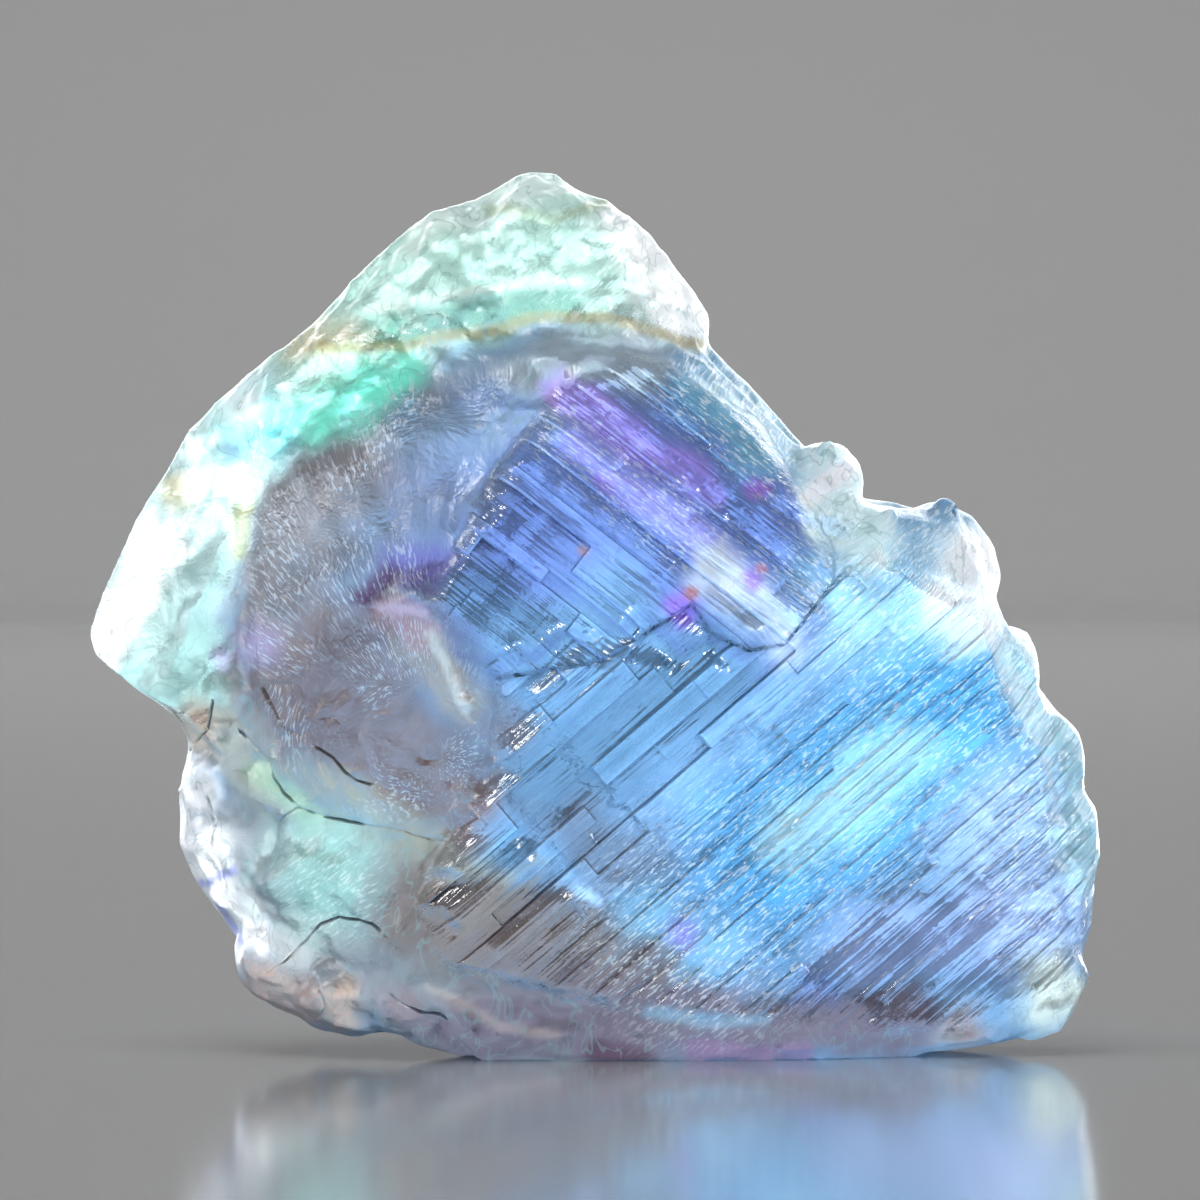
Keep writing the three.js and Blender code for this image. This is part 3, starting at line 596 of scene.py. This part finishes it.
# Each zone is a stroke seen from the front: its line, half width, softness, strength, depth and colour
ZONES = [
    # pale plate, from the left tip over the top
    ([(-33.4, 36.9), (-29.6, 43.7), (-23.6, 49.7)], 8.0, 0.45, 1.0, THROUGH, (200, 236, 234)),
    ([(-33.9, 29.9), (-29.9, 27.9)], 5.0, 0.7, 1.0, THROUGH, (158, 204, 200)),
    ([(-29.3, 36.5), (-30.5, 33.5), (-29.5, 27.5)], 2.8, 0.7, 0.9, SHOW, (128, 170, 165)),
    ([(-28.5, 43.5), (-27.8, 40.0)], 2.0, 0.8, 0.8, SHOW, (170, 224, 214)),
    # Painted highlight: pure white where the backlight shines through the thin left tip, over the pale stone
    ([(-36.4, 30.6), (-34.4, 34.2), (-32.6, 38.2)], 2.2, 0.4, 0.95, THROUGH, (255, 255, 255)),
    ([(-19.1, 55.7), (-10.9, 60.2), (-4.1, 61.7), (3.4, 58.7)], 7.5, 0.4, 1.0, THROUGH, (168, 214, 200)),
    ([(-13.1, 62.0), (-3.4, 65.0)], 2.6, 0.7, 0.9, THROUGH, (226, 248, 240)),
    # Painted highlight: near white on the facet at the top right of the cap, over the pale stone
    ([(1.9, 62.4), (7.1, 55.7)], 3.0, 0.6, 1.0, THROUGH, (250, 255, 255)),
    ([(-17.0, 54.2), (-10.0, 55.2), (-2.6, 56.2)], 1.5, 0.5, 0.95, SHOW, (82, 134, 118)),
    ([(-16.8, 55.8), (-9.0, 57.2), (-1.0, 57.8)], 0.4, 0.6, 0.7, SHOW, (225, 245, 232)),
    ([(-8.0, 63.4), (-3.0, 62.2), (0.6, 63.5)], 0.6, 0.8, 0.6, SHOW, (140, 156, 116)),
    ([(-25.4, 46.9), (-23.0, 45.2)], 3.4, 0.8, 0.95, THROUGH, (108, 236, 240)),
    # Painted highlight: a white patch on the upper flank
    ([(-26.3, 48.4)], 2.4, 0.8, 0.9, SHOW, (255, 255, 255)),
    ([(-26.8, 44.6)], 1.7, 0.8, 0.7, SHOW, (130, 200, 245)),
    # upper crystal face
    ([(-8.6, 39.2), (3.4, 45.2), (12.4, 36.9)], 8.5, 0.4, 1.0, THROUGH, (83, 107, 175)),
    ([(-8.6, 48.9), (1.9, 51.9)], 4.5, 0.7, 1.0, THROUGH, (130, 144, 154)),
    ([(7.9, 49.7), (13.1, 45.9)], 3.6, 0.7, 0.9, THROUGH, (100, 168, 198)),
    ([(-2.6, 49.7), (1.9, 46.7), (7.9, 42.2)], 1.7, 0.7, 0.85, SHOW, (150, 118, 232)),
    ([(-1.1, 45.2), (7.1, 38.4), (10.9, 33.9)], 1.9, 0.8, 0.75, SHOW, (150, 135, 242)),
    ([(7.9, 36.2), (13.1, 31.7)], 2.6, 0.6, 0.95, SHOW, (202, 218, 255)),
    ([(-11.6, 33.9), (-4.1, 30.9)], 3.6, 0.6, 0.9, SHOW, (64, 94, 126)),
    # lower crystal face
    ([(-9.4, 23.4), (-2.6, 19.7), (3.4, 14.4)], 4.2, 0.7, 0.9, SHOW, (78, 84, 100)),
    ([(-4.1, 21.9), (9.4, 30.2)], 4.0, 0.7, 0.85, SHOW, (64, 98, 128)),
    ([(13.5, 15.4), (19.1, 20.4), (25.1, 26.4)], 7.5, 0.8, 1.0, THROUGH, (68, 152, 220)),
    # Painted glow: a pale cyan patch on the show face where light from behind shines through the lower face
    ([(15.4, 16.7), (22.9, 23.4)], 3.8, 0.9, 1.0, SHOW, (184, 234, 249)),
    ([(3.4, 11.4), (7.9, 8.4)], 3.4, 0.8, 0.8, SHOW, (105, 175, 215)),
    ([(30.4, 17.0), (33.4, 11.4)], 6.5, 0.7, 0.9, THROUGH, (140, 177, 232)),
    ([(19.9, 8.4), (30.4, 9.2)], 4.5, 0.8, 0.8, SHOW, (142, 162, 226)),
    ([(31.1, 30.9), (36.0, 23.4), (37.1, 14.4)], 3.4, 0.7, 0.95, THROUGH, (170, 228, 250)),
    # shoulder and knobs
    ([(19.1, 34.7), (27.4, 36.9)], 6.0, 0.7, 1.0, THROUGH, (121, 174, 210)),
    # Painted highlight: a white patch on the shoulder
    ([(27.8, 36.9), (27.4, 33.2)], 3.6, 0.6, 1.0, SHOW, (255, 255, 255)),
    ([(17.6, 43.3), (19.1, 39.9)], 3.8, 0.4, 1.0, SHOW, (220, 255, 255)),
    # Painted highlight: a thin white band on a facet of the knob
    ([(15.8, 41.8), (18.8, 44.0)], 0.9, 0.5, 1.0, SHOW, (255, 255, 255)),
    # etched dome and lower lump
    ([(-15.4, 46.7), (-19.9, 39.9), (-22.1, 32.4)], 6.5, 0.5, 1.0, SHOW, (98, 90, 91)),
    ([(-11.6, 42.9), (-14.6, 36.9)], 5.0, 0.6, 0.9, SHOW, (94, 109, 130)),
    ([(-13.5, 47.5), (-9.0, 46.5)], 3.0, 0.8, 0.8, SHOW, (104, 132, 158)),
    ([(-8.5, 49.6), (-4.6, 47.6)], 2.6, 0.8, 0.75, SHOW, (82, 110, 160)),
    ([(-20.0, 30.9), (-15.5, 29.4)], 4.0, 0.7, 0.9, SHOW, (92, 72, 70)),
    ([(-22.9, 27.2), (-16.1, 23.4), (-12.4, 19.7)], 5.2, 0.5, 1.0, SHOW, (96, 76, 75)),
    ([(-24.8, 30.9)], 2.2, 0.8, 0.8, SHOW, (140, 108, 150)),
    ([(-27.8, 29.4)], 1.1, 0.7, 0.8, SHOW, (180, 160, 216)),
    ([(-20.6, 47.6), (-14.4, 51.4)], 2.6, 0.9, 0.95, THROUGH, (100, 252, 208)),
    # lower left
    ([(-26.0, 14.0), (-14.0, 8.0), (0.0, 3.5)], 7.0, 0.5, 0.9, THROUGH, (116, 118, 122)),
    (COLLAR_LINE, 3.0, 0.6, 0.9, THROUGH, (130, 134, 126)),
    ([(-23.5, 21.5), (-19.0, 19.3), (-13.0, 17.5)], 2.4, 0.8, 0.9, SHOW, (122, 120, 106)),
    ([(-24.4, 21.2), (-21.0, 18.0)], 1.6, 0.8, 0.8, SHOW, (138, 186, 146)),
    ([(-30.0, 24.9), (-30.4, 23.0)], 2.2, 0.7, 0.9, THROUGH, (152, 128, 114)),
    ([(-19.9, 13.7)], 6.0, 0.7, 1.0, THROUGH, (124, 170, 164)),
    ([(-12.4, 11.4), (-2.6, 9.2)], 5.0, 0.6, 0.95, SHOW, (84, 70, 66)),
    ([(-8.6, 6.9), (3.4, 6.9)], 3.6, 0.7, 0.95, SHOW, (88, 78, 82)),
    # Painted highlight: pure white along the thin rim at the lower left, where the backlight shines through
    ([(-30.4, 19.7), (-29.3, 12.9), (-26.6, 8.4)], 3.0, 0.6, 1.0, THROUGH, (255, 255, 255)),
    ([(-29.8, 12.4), (-26.9, 13.9)], 0.4, 0.6, 0.8, SHOW, (120, 125, 220)),
    ([(-28.2, 11.2), (-26.6, 8.4)], 0.4, 0.6, 0.8, SHOW, (120, 125, 220)),
    ([(-22.1, 8.2)], 3.0, 0.7, 0.9, SHOW, (176, 182, 178)),
    ([(-24.4, 5.0), (-22.1, 3.9)], 2.4, 0.6, 0.9, THROUGH, (170, 136, 120)),
    ([(-18.8, 3.9)], 2.2, 0.7, 0.9, THROUGH, (176, 142, 122)),
    ([(-13.9, 3.9)], 2.2, 0.7, 0.9, THROUGH, (112, 96, 102)),
    ([(-10.5, 1.7)], 2.2, 0.6, 0.9, SHOW, (70, 66, 84)),
    # foot
    # Painted shade: a wide dark stroke along the underside
    ([(-12.0, 1.5), (-2.6, 3.2), (22.9, 2.4)], 3.2, 0.6, 0.95, THROUGH, (84, 77, 92)),
    ([(-12.4, 5.8), (-7.1, 2.8), (-2.6, 2.0)], 0.5, 0.8, 0.5, SHOW, (180, 160, 142)),
    ([(0.4, 0.9), (3.4, 0.2)], 1.2, 0.8, 0.95, SHOW, (52, 32, 44)),
    ([(7.1, 0.5), (15.4, 0.2)], 1.1, 0.5, 0.8, SHOW, (122, 84, 128)),
    ([(4.1, 3.9), (7.9, 2.8), (12.4, 3.2)], 0.7, 0.8, 0.7, SHOW, (108, 178, 214)),
    ([(16.1, 5.4)], 2.4, 0.8, 0.8, SHOW, (95, 125, 206)),
    ([(34.1, 5.4)], 3.6, 0.6, 0.9, THROUGH, (190, 206, 196)),
    ([(27.4, 2.0)], 2.8, 0.8, 0.8, THROUGH, (130, 112, 112)),
    # spots on the show face
    ([(-12.4, 31.4), (-8.4, 24.6)], 3.6, 0.8, 0.9, SHOW, (88, 84, 96)),
    ([(-13.6, 31.0), (-11.6, 28.6), (-9.8, 26.2)], 2.0, 0.6, 0.9, SHOW, (138, 116, 96)),
    ([(-15.4, 33.0), (-12.9, 31.6)], 1.6, 0.6, 0.9, SHOW, (146, 98, 96)),
    ([(-15.9, 33.6), (-12.6, 33.2)], 0.5, 0.6, 0.9, SHOW, (196, 160, 170)),
    ([(-12.2, 31.6), (-10.6, 28.8), (-9.5, 26.0)], 0.5, 0.6, 0.9, SHOW, (204, 192, 168)),
    ([(-14.4, 36.6), (-12.2, 36.2)], 2.6, 0.8, 0.9, SHOW, (72, 58, 118)),
    ([(-16.8, 34.2), (-15.2, 36.4)], 1.1, 0.8, 0.95, SHOW, (50, 22, 42)),
    ([(6.0, 33.9)], 1.5, 0.7, 0.9, SHOW, (132, 72, 215)),
    ([(6.9, 34.7)], 0.7, 0.7, 0.85, SHOW, (190, 84, 60)),
    ([(11.3, 35.5)], 1.0, 0.7, 0.85, SHOW, (150, 90, 220)),
    ([(12.1, 36.3)], 0.6, 0.7, 0.8, SHOW, (180, 90, 96)),
    ([(12.0, 42.2)], 1.1, 0.7, 0.9, SHOW, (140, 84, 190)),
    ([(-2.6, 49.3)], 1.1, 0.8, 0.8, SHOW, (135, 98, 170)),
    ([(0.4, 42.9)], 1.0, 0.8, 0.8, SHOW, (140, 98, 220)),
    ([(-0.9, 37.7)], 0.5, 0.6, 0.8, SHOW, (150, 100, 90)),
    ([(6.4, 9.9)], 1.8, 0.8, 0.85, SHOW, (120, 88, 190)),
    ([(-6.4, 16.3)], 1.3, 0.4, 0.9, SHOW, (84, 140, 196)),
    ([(-1.5, 12.9), (0.0, 12.2)], 0.5, 0.5, 0.9, SHOW, (150, 190, 246)),
    # amber stains and the rusty ledge
    ([(-31.1, 42.2)], 1.8, 0.8, 0.8, SHOW, (226, 206, 150)),
    ([(-25.9, 42.2), (-26.5, 37.7)], 0.9, 0.8, 0.8, SHOW, (200, 198, 128)),
    ([(-21.4, 53.2), (-18.6, 54.0)], 2.2, 0.8, 0.85, SHOW, (206, 190, 152)),
    (LEDGE_LINE, 0.6, 0.8, 0.75, SHOW, (150, 128, 74)),
]
# Where the surface glitters, shown as painted glints in the colour and fine flecks in the bump: strokes as
# for the zones, with the strength as the only colour
SPARKLES = [
    ([(8.0, 10.0), (19.1, 20.4), (25.1, 26.4)], 10.0, 0.8, 1.0, SHOW, (255,)),
    ([(19.1, 34.7), (27.4, 36.9)], 7.0, 0.5, 1.0, SHOW, (255,)),
    ([(16.0, 43.0), (8.0, 49.7)], 4.0, 0.6, 1.0, SHOW, (255,)),
    ([(-2.5, 60.0), (4.5, 57.5)], 5.0, 0.7, 0.5, SHOW, (255,)),
    ([(31.1, 29.0), (34.0, 20.0), (34.0, 10.0)], 6.0, 0.7, 0.8, SHOW, (255,)),
    ([(-19.9, 12.7)], 5.0, 0.7, 0.7, SHOW, (255,)),
    ([(-2.0, 46.0), (13.0, 34.0)], 3.5, 0.7, 0.7, SHOW, (255,)),
]


def painted(points, wander, front, strokes, ground):
    """Colours of the points after laying each stroke over the ground in turn; wide strokes wander most."""
    colours = np.tile(np.array(ground, float), (len(points), 1))
    for line, half_width, softness, strength, depth, colour in strokes:
        away = distance(points + wander * min(1, half_width / 3), line)
        mask = 1 - smooth(half_width * (1 - softness), half_width * (1 + 0.3 * softness), away)
        mask *= strength * np.maximum(front, depth)
        colours += mask[:, None] * (np.array(colour, float) / 255 - colours)
    return colours


def zone_colours(points, front, light):
    """The colour of each point as the shader takes it: wandering, mottled zones with painted light and shade
    multiplied in.
    """
    wander = strayed(strayed(points, 0.9, 3.0, SEED + 5), 0.8, 7.0, SEED + 6) - points
    colours = painted(points, wander, front, ZONES, np.array(MAIN_BLUE) / 255)
    mottle = 1 + 0.07 * noise_at(points, (2.5,) * 3, 27) + 0.05 * noise_at(points, (0.9,) * 3, 29, 2)
    colours *= (mottle * light)[:, None]
    linear = np.clip(colours, 0.01, 1) ** 1.8
    return np.concatenate([linear, np.ones((len(points), 1))], axis=1)


# Finishes

def make(tree, kind, inputs=None, **settings):
    """A node of a tree with its settings, and each input given as a value or as another node's output."""
    made = tree.nodes.new(kind)
    for name, value in settings.items():
        setattr(made, name, value)
    for key, value in (inputs or {}).items():
        if isinstance(value, bpy.types.NodeSocket):
            tree.links.new(value, made.inputs[key])
        else:
            made.inputs[key].default_value = value
    return made


def math_of(tree, operation, a, b=0.0, c=0.0):
    return make(tree, "ShaderNodeMath", {0: a, 1: b, 2: c}, operation=operation).outputs[0]


def ranged(tree, value, low, high, start=0.0, end=1.0):
    """A value carried from one range to another and held within it."""
    return make(tree, "ShaderNodeMapRange", {"Value": value, 1: low, 2: high, 3: start, 4: end}).outputs[0]


def blend(tree, factor, a, b):
    return make(tree, "ShaderNodeMix", {0: factor, 6: a, 7: b}, data_type="RGBA").outputs[2]


def noise_of(tree, place, stretch, detail, dimensions="3D"):
    stretched = make(tree, "ShaderNodeVectorMath", {0: place, 1: stretch}, operation="MULTIPLY").outputs[0]
    texture = make(tree, "ShaderNodeTexNoise", noise_dimensions=dimensions)
    tree.links.new(stretched, texture.inputs["Vector"])
    texture.inputs["Scale"].default_value = 1.0
    texture.inputs["Detail"].default_value = detail
    texture.inputs["Roughness"].default_value = 0.6
    return texture.outputs[0]


def fluorite_finish():
    """Clear to milky fluorite: zones, growth lines with painted shade in their grooves, painted glints,
    scratches and veins on a body that deepens to blue.
    """
    material = bpy.data.materials.new("fluorite")
    material.use_nodes = True
    tree = material.node_tree
    shader = tree.nodes["Principled BSDF"]
    place = make(tree, "ShaderNodeAttribute", attribute_name="wander").outputs["Vector"]
    growth = make(tree, "ShaderNodeAttribute", attribute_name="growth").outputs["Vector"]
    marks = make(tree, "ShaderNodeAttribute", attribute_name="marks").outputs["Vector"]
    stepped, dome, milky = make(tree, "ShaderNodeSeparateXYZ", {0: marks}).outputs
    sparkle = make(tree, "ShaderNodeAttribute", attribute_name="sparkle").outputs["Fac"]
    colour = make(tree, "ShaderNodeAttribute", attribute_name="zone").outputs["Color"]

    lines = noise_of(tree, growth, (0.13, 2.6, 0), 1.0, "2D")
    flecks = noise_of(tree, growth, (1.1, 4.4, 0), 2.0, "2D")
    grain = noise_of(tree, place, (2.2,) * 3, 1.0)
    # Painted glints: white-blue dashes in the colour where the surface glitters; on the dome the same dashes
    # are grey scratches of the stone's own colour
    dashes = math_of(tree, "MULTIPLY", ranged(tree, flecks, 0.55, 0.64), sparkle)
    painted_glint_and_fibre = blend(tree, dome, (0.88, 0.97, 1.0, 1), (0.6, 0.63, 0.67, 1))
    colour = blend(tree, math_of(tree, "MULTIPLY", dashes, 0.65), colour, painted_glint_and_fibre)
    clouds = noise_of(tree, place, (0.5, 0.3, 0.3), 2.0)
    seams = math_of(tree, "ABSOLUTE", math_of(tree, "SUBTRACT", clouds, 0.5))
    veins = math_of(tree, "MULTIPLY", ranged(tree, seams, 0.022, 0.004), milky)
    colour = blend(tree, math_of(tree, "MULTIPLY", veins, 0.45), colour, (0.16, 0.3, 0.3, 1))
    # Painted shade: dark lines in the grooves of the growth lines, on the stepped faces and the back
    shadow = math_of(tree, "MULTIPLY", ranged(tree, lines, 0.46, 0.36), stepped)
    colour = blend(tree, math_of(tree, "MULTIPLY", shadow, 0.25), colour, (0.05, 0.12, 0.2, 1))
    tree.links.new(colour, shader.inputs["Base Color"])

    rough = math_of(tree, "MULTIPLY_ADD", milky, 0.2, ranged(tree, grain, 0.35, 0.65, 0.1, 0.22))
    rough = math_of(tree, "MULTIPLY_ADD", dome, 0.2, rough)
    tree.links.new(rough, shader.inputs["Roughness"])

    coarse = math_of(tree, "MULTIPLY_ADD", milky, 0.1, 0.15)
    coarse = math_of(tree, "MULTIPLY_ADD", dome, 0.35, coarse)
    height = math_of(tree, "MULTIPLY", grain, coarse)
    height = math_of(tree, "MULTIPLY_ADD", lines, math_of(tree, "MULTIPLY", stepped, 0.7), height)
    height = math_of(tree, "MULTIPLY_ADD", flecks, math_of(tree, "MULTIPLY", sparkle, 0.6), height)
    bump = make(tree, "ShaderNodeBump", {"Height": height, "Strength": 0.6, "Distance": 0.3 * MM})
    tree.links.new(bump.outputs[0], shader.inputs["Normal"])

    shader.inputs["Transmission Weight"].default_value = 0.6
    shader.inputs["IOR"].default_value = 1.434
    depth = make(tree, "ShaderNodeVolumeAbsorption", {"Color": (0.68, 0.86, 0.97, 1), "Density": 35.0})
    tree.links.new(depth.outputs[0], tree.nodes["Material Output"].inputs["Volume"])
    return material


body = bpy.data.objects.new("fluorite_body", sculpt())
bpy.context.scene.collection.objects.link(body)
body.data.materials.append(fluorite_finish())
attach(body, "root")
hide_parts("fluorite")


# Studio

def studio_sweep():
    """A pale floor that curves up into a backdrop far behind the piece."""
    bm = bmesh.new()
    wide, near, far, radius = 3.0, -3.0, 1.1, 0.6
    corner = bm.verts.new((-wide, near, 0))
    back = bm.verts.new((-wide, far, 0))
    bm.edges.new((corner, back))
    centre = (-wide, far, radius)
    swept = bmesh.ops.spin(bm, geom=[back], cent=centre, axis=(1, 0, 0), angle=math.pi / 2, steps=24)
    top = swept["geom_last"][0]
    raised = bmesh.ops.extrude_vert_indiv(bm, verts=[top])
    bmesh.ops.translate(bm, vec=(0, 0, 2.0), verts=raised["verts"])
    side = bmesh.ops.extrude_edge_only(bm, edges=bm.edges[:])
    moved = [v for v in side["geom"] if isinstance(v, bmesh.types.BMVert)]
    bmesh.ops.translate(bm, vec=(2 * wide, 0, 0), verts=moved)
    bmesh.ops.recalc_face_normals(bm, faces=bm.faces)
    mesh = bpy.data.meshes.new("studio_sweep")
    bm.to_mesh(mesh)
    bm.free()
    mesh.shade_smooth()
    sweep = bpy.data.objects.new("studio_sweep", mesh)
    bpy.context.scene.collection.objects.link(sweep)
    material = bpy.data.materials.new("studio_grey")
    material.use_nodes = True
    shader = material.node_tree.nodes["Principled BSDF"]
    shader.inputs["Base Color"].default_value = (0.31, 0.31, 0.31, 1)
    shader.inputs["Roughness"].default_value = 0.12
    mesh.materials.append(material)
    return sweep


def panel(name, place, target, size, power):
    """A soft light panel at a place, turned to a target, unseen by the camera itself."""
    light = bpy.data.lights.new(name, "AREA")
    light.shape = "RECTANGLE"
    light.size = size[0] * MM
    light.size_y = size[1] * MM
    light.energy = power
    holder = bpy.data.objects.new(name, light)
    holder.location = Vector(place) * MM
    holder.rotation_euler = (Vector(target) - Vector(place)).to_track_quat("-Z", "Y").to_euler()
    holder.visible_camera = False
    bpy.context.scene.collection.objects.link(holder)
    return holder


def lights(sweep):
    """Soft panels that shine on the piece from all round, and washes for the floor and the backdrop."""
    world = bpy.data.worlds.new("studio")
    world.use_nodes = True
    world.node_tree.nodes["Background"].inputs["Color"].default_value = (0.3, 0.3, 0.3, 1)
    bpy.context.scene.world = world
    middle = (0, 0, 32)
    on_piece = bpy.data.collections.new("lit piece")
    on_piece.objects.link(body)
    for light in (
        panel("back glow", (0, 170, 80), middle, (300, 240), 1.0),
        panel("left glow", (-200, 110, 70), middle, (200, 200), 0.25),
        panel("right glow", (200, 110, 70), middle, (200, 200), 0.25),
        panel("front left", (-350, -300, 380), middle, (150, 150), 2.4),
        panel("front right", (380, -350, 200), middle, (120, 120), 2.5),
        panel("left edge", (-400, -60, 120), middle, (160, 160), 0.9),
        panel("right edge", (420, 60, 260), middle, (160, 160), 0.9),
    ):
        light.light_linking.receiver_collection = on_piece
    on_floor = bpy.data.collections.new("lit studio")
    on_floor.objects.link(sweep)
    for light in (
        panel("floor wash", (-150, -150, 700), (0, 0, 0), (400, 400), 3.2),
        panel("backdrop wash", (0, 700, 900), (0, 1700, 60), (600, 300), 9.0),
    ):
        light.light_linking.receiver_collection = on_floor
        light.visible_glossy = False


def camera():
    """A long lens straight in front of the piece, a little above it."""
    cam = bpy.data.objects.new("camera", bpy.data.cameras.new("camera"))
    aim = Vector((0.375, 0, 33.9))
    cam.data.lens = 240
    cam.location = (aim + Vector((0, -600, 16))) * MM
    cam.rotation_euler = (aim * MM - cam.location).to_track_quat("-Z", "Y").to_euler()
    bpy.context.scene.collection.objects.link(cam)
    bpy.context.scene.camera = cam
    bpy.context.scene.view_settings.view_transform = "Standard"
    bpy.context.scene.cycles.max_bounces = 6
    bpy.context.scene.cycles.transmission_bounces = 6
    bpy.context.scene.cycles.use_light_tree = False


lights(studio_sweep())
camera()
